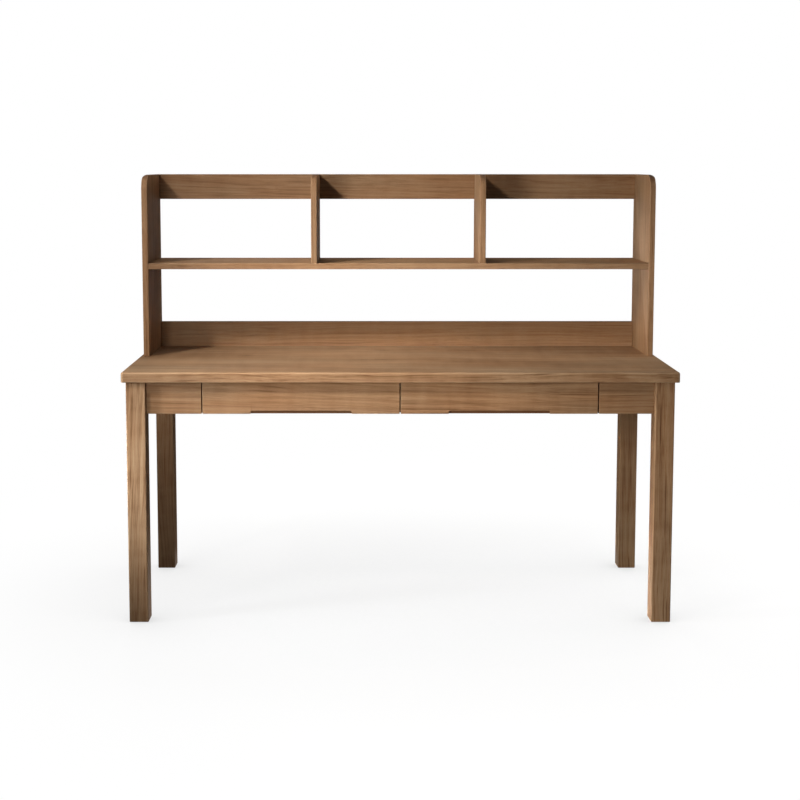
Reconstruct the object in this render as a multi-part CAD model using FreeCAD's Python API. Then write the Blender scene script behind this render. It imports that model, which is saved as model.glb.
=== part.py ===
"""Student desk with an open hutch: a knock-down wooden frame with two shallow drawers on ball slides.

The frame has +X to the sitter's right, +Y to the back and +Z up. The origin is on the floor, under the
middle of the desktop. All sizes are in millimetres.
"""

import FreeCAD, Part
import math
import os

Vector = FreeCAD.Vector

# Desktop
desk_width = 1600.0
desk_depth = 600.0
desk_height = 740.0
top_thickness = 30.0
top_corner_radius = 8.0
top_edge_radius = 6.0
top_lower_radius = 2.0
top_overhang = 12.0

# Legs and the glides under them
leg_size = 56.0
leg_edge_radius = 3.0
leg_foot_chamfer = 1.5
glide_height = 3.0
glide_diameter = 36.0
glide_edge_radius = 0.8
glide_pin_diameter = 4.0
glide_pin_length = 18.0

# Aprons, the front stretcher and the walls between the drawer bays
apron_height = 95.0
apron_thickness = 20.0
apron_setback = 15.0
apron_edge_radius = 2.0
fixed_panel_width = 159.0
reveal = 3.0
stretcher_thickness = 20.0
stretcher_depth = 60.0
wall_thickness = 18.0
wall_lift = 1.0

# Drawer fronts with their finger pulls
drawer_front_thickness = 19.0
drawer_front_edge_radius = 1.5
closing_gap = 1.0
pull_length = 292.0
pull_height = 8.0
pull_depth = 8.0
pull_rise = 6.0
pull_end_radius = 5.0

# Drawer boxes
box_lift = 13.0
box_top_clearance = 6.0
box_side_thickness = 12.0
box_edge_radius = 1.0
drawer_rear_space = 53.0
bottom_thickness = 5.0
bottom_lift = 8.0
groove_depth = 5.0
groove_fit = 0.15
groove_end_gap = 0.5

# Ball slides: three nested steel channels with a ball cage between each two
slide_gap = 12.7
slide_setback = 3.0
slide_sheet = 1.2
outer_rail_height = 35.0
outer_rail_clear = 3.2
middle_rail_height = 24.4
middle_rail_clear = 1.5
inner_rail_height = 13.4
slide_travel = 420.0
ball_clearance = 0.3
cage_sheet = 0.4
cage_flange_sheet = 0.8
cage_tip_gap = 1.5
cage_clearance = 0.3
cage_end_margin = 10.0
cage_ball_count = 9
slide_screw_diameter = 3.5
slide_screw_head_diameter = 7.0
slide_screw_head_height = 1.4
slide_screw_wall_between = 2.4
slide_screw_shares = (0.08, 0.5, 0.92)

# Hutch
hutch_height = 560.0
hutch_depth = 255.0
hutch_back_inset = 25.0
hutch_side_inset = 12.0
hutch_thickness = 18.0
hutch_corner_radius = 45.0
hutch_crown_radius = 13.0
hutch_edge_radius = 2.0
shelf_clear_height = 270.0
shelf_setback = 2.0
divider_setback = 2.0
rail_height = 80.0

# Corner brackets with hanger bolts, and the angle brackets that hold the desktop
corner_plate = 2.5
corner_plate_height = 46.0
corner_web_gap = 20.0
corner_flange = 30.0
corner_screw_spacing = 28.0
bolt_diameter = 8.0
bolt_bite = 34.0
bolt_end = 4.0
nut_width = 13.0
nut_height = 6.5
angle_plate = 2.0
angle_leg = 25.0
angle_width = 30.0
angle_side_shares = (-0.5, 0.5)
angle_rear_share = 0.5

# Wood screws
bracket_screw_diameter = 4.0
bracket_screw_bite = 12.0
bracket_screw_head_diameter = 7.5
bracket_screw_head_height = 2.2
panel_screw_diameter = 4.0
panel_screw_bite = 24.0
panel_screw_head_diameter = 8.0
panel_screw_head_height = 3.0
base_screw_diameter = 5.0
base_screw_bite = 34.0
base_screw_head_diameter = 9.0
base_screw_head_height = 3.5
front_screw_bite = 11.0
top_screw_bite = 16.0
screw_fit = 0.1
screw_tip_gap = 0.5
screw_hole_fit = 0.25
head_fit = 0.3
recess_width_share = 0.6
recess_slot_share = 0.14
recess_depth_share = 0.5

# Dowels and cam fittings
dowel_diameter = 8.0
dowel_length = 32.0
dowel_fit = 0.1
dowel_end_gap = 0.5
dowel_spread = 50.0
cam_diameter = 15.0
cam_height = 12.5
cam_recess = 0.3
cam_distance = 34.0
cam_bolt_diameter = 7.0
cam_bolt_bite = 11.0
cam_bolt_short = 3.0
cam_fit = 0.2

# Places along a board, as shares of its length
front_screw_shares = (-0.36, 0.36)
front_screw_height_shares = (0.2, 0.7)
wall_screw_height_shares = (0.3, 0.75)
stretcher_screw_shares = (-0.75, -0.3, 0.3, 0.75)
shelf_cam_shares = (0.2, 0.8)
shelf_dowel_share = 0.5
divider_screw_shares = (0.25, 0.72)
base_screw_shares = (0.25, 0.8)
base_dowel_shares = (-0.7, 0.0, 0.7)

# Working values for cuts and tests
overrun = 2.0
joint_fit = 0.2
tiny = 0.001

# Planes and places that the pieces share
half_width = desk_width / 2
half_depth = desk_depth / 2
top_low = desk_height - top_thickness
leg_out_x = half_width - top_overhang
leg_in_x = leg_out_x - leg_size
leg_out_y = half_depth - top_overhang
leg_in_y = leg_out_y - leg_size
apron_low = top_low - apron_height
apron_middle = (apron_low + top_low) / 2
corner_middle = (apron_low + top_low - stretcher_thickness) / 2
side_face_x = leg_out_x - apron_setback
side_in_x = side_face_x - apron_thickness
rear_face_y = leg_out_y - apron_setback
rear_in_y = rear_face_y - apron_thickness
front_face_y = -leg_out_y + apron_setback
drawer_back_y = front_face_y + drawer_front_thickness
carcass_front_y = drawer_back_y + closing_gap
stretcher_low = top_low - stretcher_thickness
stretcher_back_y = carcass_front_y + stretcher_depth
panel_in_x = leg_in_x - fixed_panel_width
wall_x = panel_in_x - reveal / 2
wall_low = apron_low + wall_lift
box_low = apron_low + box_lift
box_high = stretcher_low - box_top_clearance
slide_z = (box_low + box_high) / 2
slide_front_y = carcass_front_y + slide_setback
slide_back_y = rear_in_y - drawer_rear_space
slide_length = slide_back_y - slide_front_y
slide_screw_bite = (wall_thickness - slide_screw_wall_between) / 2
outer_rail_tip = slide_gap - outer_rail_clear
middle_rail_root = slide_sheet + slide_screw_head_height + cage_sheet + 2 * cage_clearance
middle_rail_tip = slide_gap - middle_rail_clear
inner_rail_tip = middle_rail_root + slide_sheet + cage_sheet + 2 * cage_clearance
cage_front_y = slide_front_y + slide_travel / 4 + cage_end_margin
cage_back_y = slide_back_y - slide_travel / 4 - cage_end_margin
hutch_high = desk_height + hutch_height
hutch_back_y = half_depth - hutch_back_inset
hutch_front_y = hutch_back_y - hutch_depth
hutch_out_x = half_width - hutch_side_inset
hutch_in_x = hutch_out_x - hutch_thickness
rail_front_y = hutch_back_y - hutch_thickness
rail_middle_y = (rail_front_y + hutch_back_y) / 2
shelf_low = desk_height + shelf_clear_height
shelf_high = shelf_low + hutch_thickness
shelf_middle = (shelf_low + shelf_high) / 2
shelf_front_y = hutch_front_y + shelf_setback
divider_front_y = shelf_front_y + divider_setback
divider_x = (hutch_in_x - hutch_thickness) / 3 + hutch_thickness / 2

# Kinds of screw: shank diameter, head diameter and head height
bracket_screw = (bracket_screw_diameter, bracket_screw_head_diameter, bracket_screw_head_height)
panel_screw = (panel_screw_diameter, panel_screw_head_diameter, panel_screw_head_height)
base_screw = (base_screw_diameter, base_screw_head_diameter, base_screw_head_height)
slide_screw = (slide_screw_diameter, slide_screw_head_diameter, slide_screw_head_height)

solids = {}
bores = {}


def add(name, *shapes):
    """Puts solids into a node."""
    solids.setdefault(name, []).extend(shapes)


def drill(tool, *names):
    """Takes a shape out of the named nodes when they are finished."""
    for name in names:
        bores.setdefault(name, []).append(tool)


def box(x, y, z):
    """A block between the low and high ends of each axis, given in either order."""
    x, y, z = sorted(x), sorted(y), sorted(z)
    return Part.makeBox(x[1] - x[0], y[1] - y[0], z[1] - z[0], Vector(x[0], y[0], z[0]))


def rod(diameter, start, direction, length):
    return Part.makeCylinder(diameter / 2, length, start, direction)


def prism(points, along):
    """A polygon carried straight along a vector."""
    return Part.Face(Part.makePolygon(points + points[:1])).extrude(along)


def rectangle(corner, along, across):
    """The four corners of a rectangle, from one corner and its two sides."""
    return [corner, corner + along, corner + along + across, corner + across]


def runs(edge, axis):
    """Whether an edge is a straight line along one axis."""
    size = edge.BoundBox
    lengths = {"x": size.XLength, "y": size.YLength, "z": size.ZLength}
    return lengths.pop(axis) > tiny and max(lengths.values()) < tiny


def rounded(shape, radius, pick):
    """The shape with a round on each edge that pick accepts."""
    return shape.makeFillet(radius, [edge for edge in shape.Edges if pick(edge)])


def hand(side):
    return "left" if side < 0 else "right"


def screw(kind, length, seat, direction):
    """A wood screw with a cross recess. The seat is the point under its head."""
    diameter, head_diameter, head_height = kind
    outward = direction * -1
    made = rod(diameter, seat, direction, length).fuse(rod(head_diameter, seat, outward, head_height))
    across = Vector(0, 0, 1) if abs(direction.z) < tiny else Vector(1, 0, 0)
    other = direction.cross(across)
    face = seat + outward * (head_height + overrun)
    depth = head_height * recess_depth_share + overrun
    wide = head_diameter * recess_width_share
    thin = head_diameter * recess_slot_share
    for long, short in ((across, other), (other, across)):
        corner = face - long * (wide / 2) - short * (thin / 2)
        made = made.cut(prism(rectangle(corner, long * wide, short * thin), direction * depth))
    return made.removeSplitter()


def screw_through(node, kind, bite, face, direction, clear, clear_node, bite_node):
    """A screw whose head is sunk in clear_node's face. It passes that board and bites into bite_node.

    The face is the point on the outer surface and clear is the thickness of the board that is passed.
    """
    diameter, head_diameter, head_height = kind
    sunk = head_height + head_fit
    seat = face + direction * sunk
    length = clear - sunk + bite
    add(node, screw(kind, length, seat, direction))
    mouth = face - direction * overrun
    drill(rod(head_diameter + 2 * head_fit, mouth, direction, sunk + overrun), clear_node)
    drill(rod(diameter + 2 * screw_hole_fit, seat, direction, clear), clear_node)
    drill(rod(diameter + 2 * screw_fit, seat, direction, length + screw_tip_gap), bite_node)


def screw_onto(node, kind, bite, face, direction, plate, plate_node, bite_node):
    """A screw whose head stands on a thin plate. It passes the plate and bites into bite_node."""
    diameter = kind[0]
    length = plate + bite
    add(node, screw(kind, length, face, direction))
    mouth = face - direction * overrun
    drill(rod(diameter + 2 * screw_hole_fit, mouth, direction, plate + 2 * overrun), plate_node)
    drill(rod(diameter + 2 * screw_fit, face, direction, length + screw_tip_gap), bite_node)


def dowel(centre, direction, *names):
    """A wooden peg, half in each of two boards, with its middle on their joint."""
    start = centre - direction * (dowel_length / 2)
    add("dowels", rod(dowel_diameter, start, direction, dowel_length))
    hole_start = start - direction * dowel_end_gap
    hole_length = dowel_length + 2 * dowel_end_gap
    drill(rod(dowel_diameter + 2 * dowel_fit, hole_start, direction, hole_length), *names)


# Desktop: one edge-glued panel with rounded edges
def make_desktop():
    top = box((-half_width, half_width), (-half_depth, half_depth), (top_low, desk_height))
    top = rounded(top, top_corner_radius, lambda edge: runs(edge, "z"))
    top = rounded(top, top_edge_radius, lambda edge: edge.BoundBox.ZMin > desk_height - tiny)
    top = rounded(top, top_lower_radius, lambda edge: edge.BoundBox.ZMax < top_low + tiny)
    add("desktop", top)


# Legs: square posts with eased edges, each on a nailed glide
def leg_name(end, side):
    return f"{'front' if end < 0 else 'rear'}_{hand(side)}_leg"


def make_leg(end, side):
    name = leg_name(end, side)
    x, y = (side * leg_in_x, side * leg_out_x), (end * leg_in_y, end * leg_out_y)
    post = box(x, y, (glide_height, top_low))
    post = rounded(post, leg_edge_radius, lambda edge: runs(edge, "z"))
    foot = [edge for edge in post.Edges if edge.BoundBox.ZMax < glide_height + tiny]
    add(name, post.makeChamfer(leg_foot_chamfer, foot))
    centre = Vector(sum(x) / 2, sum(y) / 2, 0)
    up = Vector(0, 0, 1)
    disc = rod(glide_diameter, centre, up, glide_height)
    disc = rounded(disc, glide_edge_radius, lambda edge: edge.BoundBox.ZMax < tiny)
    seat = centre + up * glide_height
    add("leg_glides", disc.fuse(rod(glide_pin_diameter, seat, up, glide_pin_length)).removeSplitter())
    hole = glide_pin_length + screw_tip_gap
    drill(rod(glide_pin_diameter + 2 * screw_fit, seat - up * overrun, up, hole + overrun), name)


# Aprons, fixed front panels and the stretcher, pegged to the legs
def make_aprons():
    z = (apron_low, top_low)
    for side in (-1, 1):
        apron = box((side * side_in_x, side * side_face_x), (-leg_in_y, leg_in_y), z)
        name = f"{hand(side)}_side_apron"
        add(name, ease_lower_edges(apron, "y"))
        panel = box((side * panel_in_x, side * leg_in_x), (front_face_y, carcass_front_y), z)
        panel_name = f"{hand(side)}_front_panel"
        add(panel_name, ease_lower_edges(panel, "x"))
        for rise in (-dowel_spread / 2, dowel_spread / 2):
            height = apron_middle + rise
            for end in (-1, 1):
                at = Vector(side * (side_in_x + side_face_x) / 2, end * leg_in_y, height)
                dowel(at, Vector(0, 1, 0), name, leg_name(end, side))
            at = Vector(side * leg_in_x, (front_face_y + carcass_front_y) / 2, height)
            dowel(at, Vector(1, 0, 0), panel_name, leg_name(-1, side))
            at = Vector(side * leg_in_x, (rear_in_y + rear_face_y) / 2, height)
            dowel(at, Vector(1, 0, 0), "rear_apron", leg_name(1, side))
        at = Vector(side * leg_in_x, (carcass_front_y - leg_in_y) / 2, (stretcher_low + top_low) / 2)
        dowel(at, Vector(1, 0, 0), "front_stretcher", leg_name(-1, side))
    rear = box((-leg_in_x, leg_in_x), (rear_in_y, rear_face_y), z)
    add("rear_apron", ease_lower_edges(rear, "x"))
    stretcher = box((-leg_in_x, leg_in_x), (carcass_front_y, stretcher_back_y), (stretcher_low, top_low))
    add("front_stretcher", stretcher)
    for share in stretcher_screw_shares:
        face = Vector(share * wall_x, (carcass_front_y + stretcher_back_y) / 2, stretcher_low)
        screw_through("panel_screws", panel_screw, top_screw_bite, face, Vector(0, 0, 1), stretcher_thickness,
                      "front_stretcher", "desktop")


def ease_lower_edges(board, axis):
    """A board with its two long lower edges rounded."""
    low = board.BoundBox.ZMin

    def is_lower(edge):
        return runs(edge, axis) and edge.BoundBox.ZMax < low + tiny

    return rounded(board, apron_edge_radius, is_lower)


# Bay walls: boards from the stretcher to the rear apron that carry the slides
def make_bay_walls():
    for name, x in (("left_bay_wall", -wall_x), ("centre_bay_wall", 0), ("right_bay_wall", wall_x)):
        across = (x - wall_thickness / 2, x + wall_thickness / 2)
        wall = box(across, (carcass_front_y, rear_in_y), (wall_low, top_low))
        notch_x = (across[0] - overrun, across[1] + overrun)
        notch_y = (carcass_front_y - overrun, stretcher_back_y + joint_fit)
        add(name, wall.cut(box(notch_x, notch_y, (stretcher_low, top_low + overrun))))
        for share in wall_screw_height_shares:
            face = Vector(x, rear_face_y, wall_low + share * (top_low - wall_low))
            screw_through("panel_screws", panel_screw, panel_screw_bite, face, Vector(0, -1, 0),
                          apron_thickness, "rear_apron", name)


# Corner brackets: bent plates across each corner, drawn to the leg by a hanger bolt and nut
def make_corner(end, side):
    apron_y = -carcass_front_y if end < 0 else rear_in_y
    flat_node = f"{hand(side)}_front_panel" if end < 0 else "rear_apron"
    side_node = f"{hand(side)}_side_apron"

    def place(a, b, z):
        """A point a in from the side apron and b in from the front or rear board."""
        return Vector(side * (side_in_x - a), end * (apron_y - b), z)

    leg_a, leg_b = side_in_x - leg_in_x, apron_y - leg_in_y
    web = leg_a + leg_b + corner_web_gap
    turn = corner_plate * (math.sqrt(2) - 1)
    tip = web + corner_flange
    low = corner_middle - corner_plate_height / 2
    outline = [(tip, 0), (web, 0), (0, web), (0, tip), (corner_plate, tip), (corner_plate, web + turn),
               (web + turn, corner_plate), (tip, corner_plate)]
    plate = prism([place(a, b, low) for a, b in outline], Vector(0, 0, corner_plate_height))
    inward = Vector(-side, -end, 0).normalize()
    corner = place(leg_a, leg_b, corner_middle)
    web_back = corner_web_gap / math.sqrt(2) + corner_plate
    bolt_hole = rod(bolt_diameter + 2 * screw_hole_fit, corner, inward, web_back + overrun)
    add("corner_brackets", plate.cut(bolt_hole))
    add("corner_nuts", hex_nut(corner + inward * web_back, inward))
    bolt_length = bolt_bite + web_back + nut_height + bolt_end
    add("corner_bolts", rod(bolt_diameter, corner - inward * bolt_bite, inward, bolt_length))
    bottom = corner - inward * (bolt_bite + screw_tip_gap)
    drill(rod(bolt_diameter + 2 * screw_fit, bottom, inward, bolt_length), leg_name(end, side))
    along = web + corner_flange / 2
    for rise in (-corner_screw_spacing / 2, corner_screw_spacing / 2):
        for at, into, node in (
                (place(along, corner_plate, corner_middle + rise), Vector(0, end, 0), flat_node),
                (place(corner_plate, along, corner_middle + rise), Vector(side, 0, 0), side_node)):
            screw_onto("bracket_screws", bracket_screw, bracket_screw_bite, at, into, corner_plate,
                       "corner_brackets", node)


def hex_nut(seat, axis):
    """A hexagon nut that stands on its seat and is bored for the bolt."""
    up = Vector(0, 0, 1)
    other = axis.cross(up)
    radius = nut_width / math.sqrt(3)
    turns = [math.radians(60 * i) for i in range(6)]
    points = [seat + up * (radius * math.cos(t)) + other * (radius * math.sin(t)) for t in turns]
    bore = rod(bolt_diameter + 2 * screw_fit, seat - axis * overrun, axis, nut_height + 2 * overrun)
    return prism(points, axis * nut_height).cut(bore)


# Angle brackets between the aprons and the underside of the desktop
def make_angles():
    for side in (-1, 1):
        for share in angle_side_shares:
            place_angle(Vector(side * side_in_x, share * leg_in_y, top_low), Vector(-side, 0, 0),
                        f"{hand(side)}_side_apron")
        rear = Vector(side * wall_x * angle_rear_share, rear_in_y, top_low)
        place_angle(rear, Vector(0, -1, 0), "rear_apron")


def place_angle(corner, inward, apron_node):
    """One angle bracket in the corner below the desktop. Inward points away from its apron."""
    up = Vector(0, 0, 1)
    along = inward.cross(up)
    outline = [(0, 0), (angle_leg, 0), (angle_leg, -angle_plate), (angle_plate, -angle_plate),
               (angle_plate, -angle_leg), (0, -angle_leg)]
    start = corner - along * (angle_width / 2)
    add("top_brackets", prism([start + inward * a + up * b for a, b in outline], along * angle_width))
    middle = (angle_leg + angle_plate) / 2
    screws = ((corner + inward * middle - up * angle_plate, up, "desktop"),
              (corner - up * middle + inward * angle_plate, inward * -1, apron_node))
    for face, direction, node in screws:
        screw_onto("bracket_screws", bracket_screw, bracket_screw_bite, face, direction, angle_plate,
                   "top_brackets", node)


# Drawers: a front with a finger pull, screwed to a box with a grooved-in bottom
def make_drawer(side):
    name = f"{hand(side)}_drawer"
    front_in, front_out = reveal / 2, panel_in_x - reveal
    middle_x = side * (front_in + front_out) / 2
    front_z = (apron_low, top_low - reveal)
    front = box((side * front_in, side * front_out), (front_face_y, drawer_back_y), front_z)
    front = rounded(front, drawer_front_edge_radius, lambda edge: edge.BoundBox.YMax < front_face_y + tiny)
    add(f"{name}_front", front.cut(finger_pull(middle_x)))
    space = wall_thickness / 2 + slide_gap
    faces = sorted((side * space, side * (wall_x - space)))
    inside = (faces[0] + box_side_thickness, faces[1] - box_side_thickness)
    z = (box_low, box_high)
    boards = {
        "left_side": ((faces[0], inside[0]), (drawer_back_y, slide_back_y)),
        "right_side": ((inside[1], faces[1]), (drawer_back_y, slide_back_y)),
        "box_front": (inside, (drawer_back_y, drawer_back_y + box_side_thickness)),
        "back": (inside, (slide_back_y - box_side_thickness, slide_back_y)),
    }
    bottom_x = (inside[0] - groove_depth + groove_end_gap, inside[1] + groove_depth - groove_end_gap)
    bottom_y = (drawer_back_y + box_side_thickness - groove_depth + groove_end_gap,
                slide_back_y - box_side_thickness + groove_depth - groove_end_gap)
    bottom_z = (box_low + bottom_lift, box_low + bottom_lift + bottom_thickness)
    add(f"{name}_bottom", box(bottom_x, bottom_y, bottom_z))
    groove = box((bottom_x[0] - groove_end_gap, bottom_x[1] + groove_end_gap),
                 (bottom_y[0] - groove_end_gap, bottom_y[1] + groove_end_gap),
                 (bottom_z[0] - groove_fit, bottom_z[1] + groove_fit))
    for board, (x, y) in boards.items():
        axis = "y" if board.endswith("side") else "x"
        shape = rounded(box(x, y, z), box_edge_radius,
                        lambda edge: runs(edge, axis) and edge.BoundBox.ZMin > box_high - tiny)
        add(f"{name}_{board}", shape.cut(groove))
    for share_x in front_screw_shares:
        for share_z in front_screw_height_shares:
            face = Vector((faces[0] + faces[1]) / 2 + share_x * (inside[1] - inside[0]),
                          drawer_back_y + box_side_thickness,
                          bottom_z[1] + share_z * (box_high - bottom_z[1]))
            screw_through(f"{name}_front_screws", panel_screw, front_screw_bite, face, Vector(0, -1, 0),
                          box_side_thickness, f"{name}_box_front", f"{name}_front")
    make_slide(name, faces[0] - slide_gap, 1, wall_node(side, -1), f"{name}_left_side")
    make_slide(name, faces[1] + slide_gap, -1, wall_node(side, 1), f"{name}_right_side")


def wall_node(side, end):
    """The bay wall on one end, left or right, of a drawer."""
    return f"{hand(side)}_bay_wall" if side == end else "centre_bay_wall"


def finger_pull(middle_x):
    """The recess in a front's lower edge. Its ceiling rises inwards, so that fingers hook behind the face."""
    slope = pull_rise / pull_depth
    x0, x1 = middle_x - pull_length / 2, middle_x + pull_length / 2
    back = front_face_y + pull_depth
    outline = [(front_face_y - overrun, apron_low - overrun),
               (front_face_y - overrun, apron_low + pull_height - overrun * slope),
               (back, apron_low + pull_height + pull_rise), (back, apron_low - overrun)]
    tool = prism([Vector(x0, y, z) for y, z in outline], Vector(x1 - x0, 0, 0))
    return rounded(tool, pull_end_radius, lambda edge: is_ceiling_end(edge, x0, x1))


def is_ceiling_end(edge, x0, x1):
    """Whether an edge is where the sloped ceiling of a finger pull meets one of its ends."""
    size = edge.BoundBox
    at_end = size.XMax < x0 + tiny or size.XMin > x1 - tiny
    return at_end and size.YLength > tiny and size.ZLength > tiny


# Slides: outer channel on the wall, middle channel, inner channel on the drawer side, two ball cages
def make_slide(drawer, wall_face, direction, wall, drawer_side):
    def carried(outline, start, length):
        """An outline of points (u out from the wall, w above the slide's middle), carried to the back."""
        points = [Vector(wall_face + direction * u, start, slide_z + w) for u, w in outline]
        return prism(points, Vector(0, length, 0))

    def rail(root, tip, height):
        outline = channel(root, tip, height / 2, slide_sheet, slide_sheet)
        return carried(outline, slide_front_y, slide_length)

    outer = rail(0, outer_rail_tip, outer_rail_height)
    middle = rail(middle_rail_root, middle_rail_tip, middle_rail_height)
    inner = rail(slide_gap, inner_rail_tip, inner_rail_height)
    into_wall, into_box = Vector(-direction, 0, 0), Vector(direction, 0, 0)
    for share in slide_screw_shares:
        y = slide_front_y + share * slide_length
        at = Vector(wall_face + direction * slide_sheet, y, slide_z)
        outer = screw_rail(outer, "slide_wall_screws", at, into_wall, wall)
        at = Vector(wall_face + direction * (slide_gap - slide_sheet), y, slide_z)
        inner = screw_rail(inner, f"{drawer}_slide_screws", at, into_box, drawer_side)
    add(f"{drawer}_outer_rails", outer)
    add(f"{drawer}_middle_rails", middle)
    add(f"{drawer}_inner_rails", inner)
    races = {"outer_cages": (middle_rail_root, outer_rail_tip, outer_rail_height / 2 - slide_sheet,
                             middle_rail_height / 2),
             "inner_cages": (inner_rail_tip, middle_rail_tip, middle_rail_height / 2 - slide_sheet,
                             inner_rail_height / 2)}
    for name, (behind, race_tip, above, below) in races.items():
        web = behind - cage_clearance - cage_sheet
        tip = race_tip - cage_tip_gap
        row = (above + below) / 2
        outline = channel(web, tip, row + cage_flange_sheet / 2, cage_sheet, cage_flange_sheet)
        strip = carried(outline, cage_front_y, cage_back_y - cage_front_y)
        ball_diameter = above - below - 2 * ball_clearance
        ball_x = wall_face + direction * (web + cage_sheet + cage_clearance + ball_diameter / 2)
        add(f"{drawer}_{name}", strip.fuse(balls(ball_x, row, ball_diameter)).removeSplitter())


def channel(root, tip, half, web_sheet, flange_sheet):
    """The outline of a channel with its web at root and its two flanges running to tip."""
    web = root + math.copysign(web_sheet, tip - root)
    inside = half - flange_sheet
    return [(root, -half), (tip, -half), (tip, -inside), (web, -inside), (web, inside), (tip, inside),
            (tip, half), (root, half)]


def screw_rail(rail, node, at, into, board):
    """Screws a rail's web to a board. Returns the rail with its hole."""
    length = slide_sheet + slide_screw_bite
    add(node, screw(slide_screw, length, at, into))
    drill(rod(slide_screw_diameter + 2 * screw_fit, at, into, length + screw_tip_gap), board)
    mouth = at - into * slide_sheet
    return rail.cut(rod(slide_screw_diameter + 2 * screw_hole_fit, mouth, into, 3 * slide_sheet))


def balls(x, row, diameter):
    """Two rows of balls, above and below the slide's middle, evenly spaced along a cage."""
    pitch = (cage_back_y - cage_front_y) / cage_ball_count
    places = [cage_front_y + pitch * (i + 1 / 2) for i in range(cage_ball_count)]
    heights = (slide_z - row, slide_z + row)
    return [Part.makeSphere(diameter / 2, Vector(x, y, z)) for y in places for z in heights]


# Hutch sides and dividers: upright boards with a rounded upper front corner
def upright(x, front, low):
    """A board between two values of x, from low to the hutch's top, with its front and top edges eased."""
    radius = hutch_corner_radius
    bend = radius * (1 - math.sqrt(1 / 2))
    outline = [(hutch_back_y, hutch_high), (hutch_back_y, low), (front, low), (front, hutch_high - radius),
               (front + bend, hutch_high - bend), (front + radius, hutch_high)]
    points = [Vector(x[0], y, z) for y, z in outline]
    lines = [Part.LineSegment(points[i], points[i + 1]) for i in range(3)]
    lines += [Part.Arc(*points[3:]), Part.LineSegment(points[5], points[0])]
    board = Part.Face(Part.Wire([line.toShape() for line in lines])).extrude(Vector(x[1] - x[0], 0, 0))

    def on_front_or_top(edge):
        size = edge.BoundBox
        return size.XLength < tiny and size.YMin < hutch_back_y - tiny and size.ZMax > low + tiny

    return rounded(board, hutch_edge_radius, on_front_or_top)


def crowned(board, side):
    """A hutch side with a large round on its outer top edge, which dies out down the front corner."""
    radius = hutch_crown_radius
    middle_x, middle_z = side * (hutch_out_x - radius), hutch_high - radius
    corner = box((middle_x, side * (hutch_out_x + overrun)),
                 (hutch_front_y - overrun, hutch_back_y + overrun),
                 (middle_z, hutch_high + overrun))
    start = Vector(middle_x, hutch_front_y - overrun, middle_z)
    return board.cut(corner.cut(rod(2 * radius, start, Vector(0, 1, 0), hutch_depth + 2 * overrun)))


def make_hutch_uprights():
    up, forward = Vector(0, 0, 1), Vector(0, -1, 0)
    for side in (-1, 1):
        name = f"hutch_{hand(side)}_side"
        x = sorted((side * hutch_in_x, side * hutch_out_x))
        add(name, crowned(upright(x, hutch_front_y, desk_height), side))
        for share in base_screw_shares:
            face = Vector(sum(x) / 2, hutch_front_y + share * (leg_in_y - hutch_front_y), top_low)
            screw_through("hutch_base_screws", base_screw, base_screw_bite, face, up, top_thickness,
                          "desktop", name)
        name = f"hutch_{hand(side)}_divider"
        x = (side * divider_x - hutch_thickness / 2, side * divider_x + hutch_thickness / 2)
        notch = box((x[0] - overrun, x[1] + overrun), (rail_front_y - joint_fit, hutch_back_y + overrun),
                    (hutch_high - rail_height - joint_fit, hutch_high + overrun))
        add(name, upright(x, divider_front_y, shelf_high).cut(notch))
        for share in divider_screw_shares:
            y = divider_front_y + share * (hutch_back_y - divider_front_y)
            face = Vector(side * divider_x, y, shelf_low)
            screw_through("panel_screws", panel_screw, panel_screw_bite, face, up, hutch_thickness,
                          "hutch_shelf", name)
        face = Vector(side * divider_x, hutch_back_y, hutch_high - rail_height / 2)
        screw_through("panel_screws", panel_screw, panel_screw_bite, face, forward,
                      hutch_thickness + joint_fit, "hutch_top_rail", name)


# Hutch shelf, top rail and lower panel: boards between the sides, drawn up by cam fittings
def make_hutch_boards():
    across = (-hutch_in_x, hutch_in_x)
    shelf = box(across, (shelf_front_y, hutch_back_y), (shelf_low, shelf_high))
    add("hutch_shelf", rounded(shelf, hutch_edge_radius,
                               lambda edge: runs(edge, "x") and edge.BoundBox.YMax < shelf_front_y + tiny))
    for name, low in (("hutch_top_rail", hutch_high - rail_height), ("hutch_lower_panel", desk_height)):
        rail = box(across, (rail_front_y, hutch_back_y), (low, low + rail_height))
        add(name, rounded(rail, hutch_edge_radius,
                          lambda edge: runs(edge, "x") and edge.BoundBox.ZMin > low + rail_height - tiny))
    for share in base_dowel_shares:
        at = Vector(share * hutch_in_x, rail_middle_y, desk_height)
        dowel(at, Vector(0, 0, 1), "hutch_lower_panel", "desktop")
    for side in (-1, 1):
        panel = f"hutch_{hand(side)}_side"
        shelf_depth = hutch_back_y - shelf_front_y
        for share in shelf_cam_shares:
            cam_joint(Vector(side * hutch_in_x, shelf_front_y + share * shelf_depth, shelf_middle), side,
                      Vector(0, 0, -1), "hutch_shelf", panel)
        at = Vector(side * hutch_in_x, shelf_front_y + shelf_dowel_share * shelf_depth, shelf_middle)
        dowel(at, Vector(1, 0, 0), "hutch_shelf", panel)
        for name, middle in (("hutch_top_rail", hutch_high - rail_height / 2),
                             ("hutch_lower_panel", desk_height + rail_height / 2)):
            cam_joint(Vector(side * hutch_in_x, rail_middle_y, middle), side, Vector(0, 1, 0), name, panel)
            for rise in (-dowel_spread / 2, dowel_spread / 2):
                dowel(Vector(side * hutch_in_x, rail_middle_y, middle + rise), Vector(1, 0, 0), name, panel)


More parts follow.
